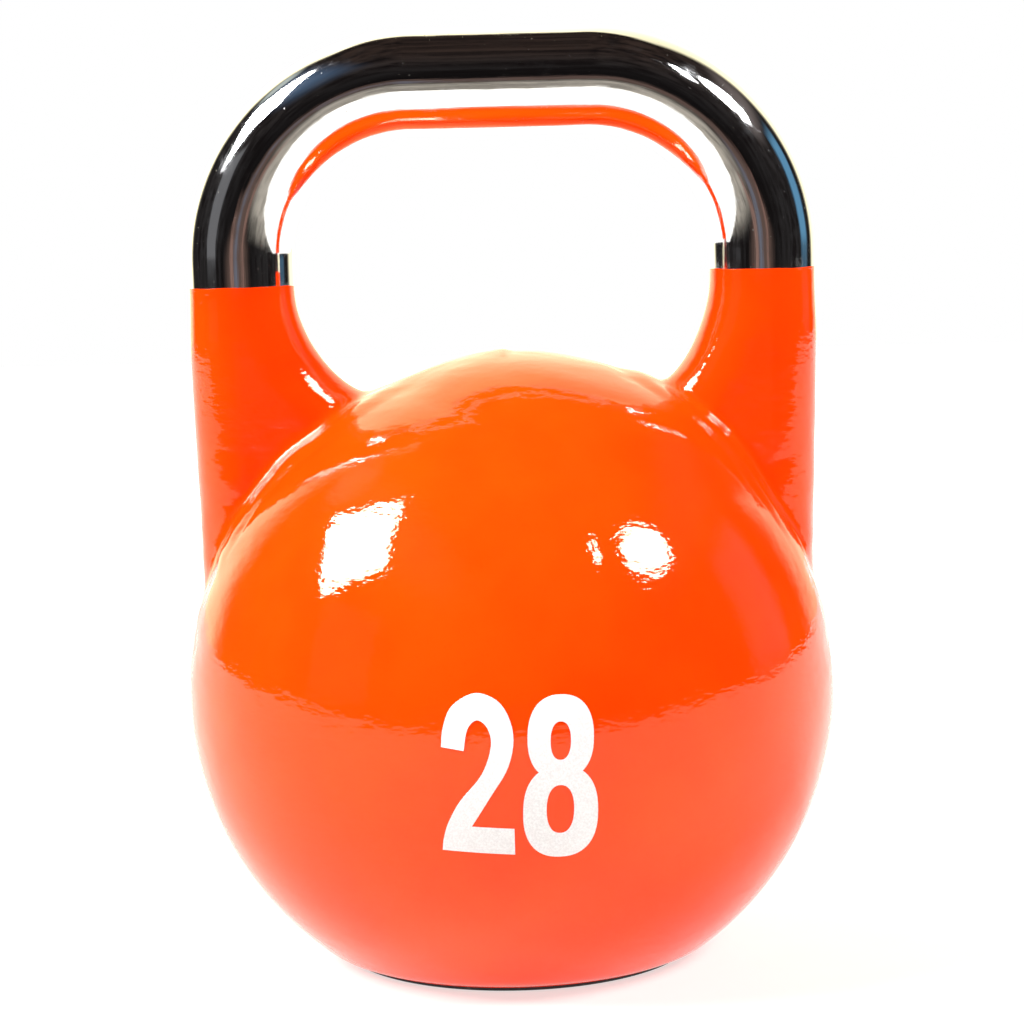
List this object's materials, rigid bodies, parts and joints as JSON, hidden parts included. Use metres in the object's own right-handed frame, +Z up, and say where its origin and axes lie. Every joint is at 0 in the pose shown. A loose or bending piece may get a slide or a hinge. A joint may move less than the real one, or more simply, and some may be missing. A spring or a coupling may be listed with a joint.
{
  "type": "competition kettlebell",
  "caption": "Round steel competition kettlebell with a wide bent chrome tube handle on painted horns, a flat padded base and a weight figure on the front.",
  "frame": {"origin": "on the floor under the centre of the ball, at the middle of the pad's lower face", "axes": "+Z up, the handle spans X, the figures face -Y (front), so +X is the right-hand side seen from the front"},
  "size_m": [0.21, 0.2102, 0.2985],
  "materials": {
    "chrome_tube": "bright chrome plate over polished steel tube, faint drawing lines and finger marks",
    "orange_enamel": "thick glossy orange enamel with light orange peel over hand-filled welds",
    "bare_steel": "plain machined or pressed steel inside the ball and handle",
    "plug_steel": "turned steel plug with a thin zinc coat",
    "seal_fibre": "flat red fibre sealing ring",
    "black_rubber": "matte black rubber sheet, slightly scuffed",
    "steel_shot": "packed steel shot, modelled as one closed solid",
    "wool_felt": "thick pressed felt",
    "white_film": "thin white self-adhesive film with a fine grain"
  },
  "bodies": {
    "root": {"handle_tube": "chrome_tube", "left_peg": "bare_steel", "right_peg": "bare_steel", "left_horn": "orange_enamel", "right_horn": "orange_enamel", "left_root_weld": "orange_enamel", "right_root_weld": "orange_enamel", "upper_shell": "orange_enamel", "lower_shell": "orange_enamel", "girth_weld": "orange_enamel", "backing_ring": "bare_steel", "base_plate": "orange_enamel", "base_weld": "orange_enamel", "fill_boss": "bare_steel", "fill_plug": "plug_steel", "plug_seal": "seal_fibre", "base_pad": "black_rubber", "ballast_shot": "steel_shot", "felt_wad": "wool_felt", "figure_two": "white_film", "figure_eight": "white_film"}
  },
  "joints": []
}
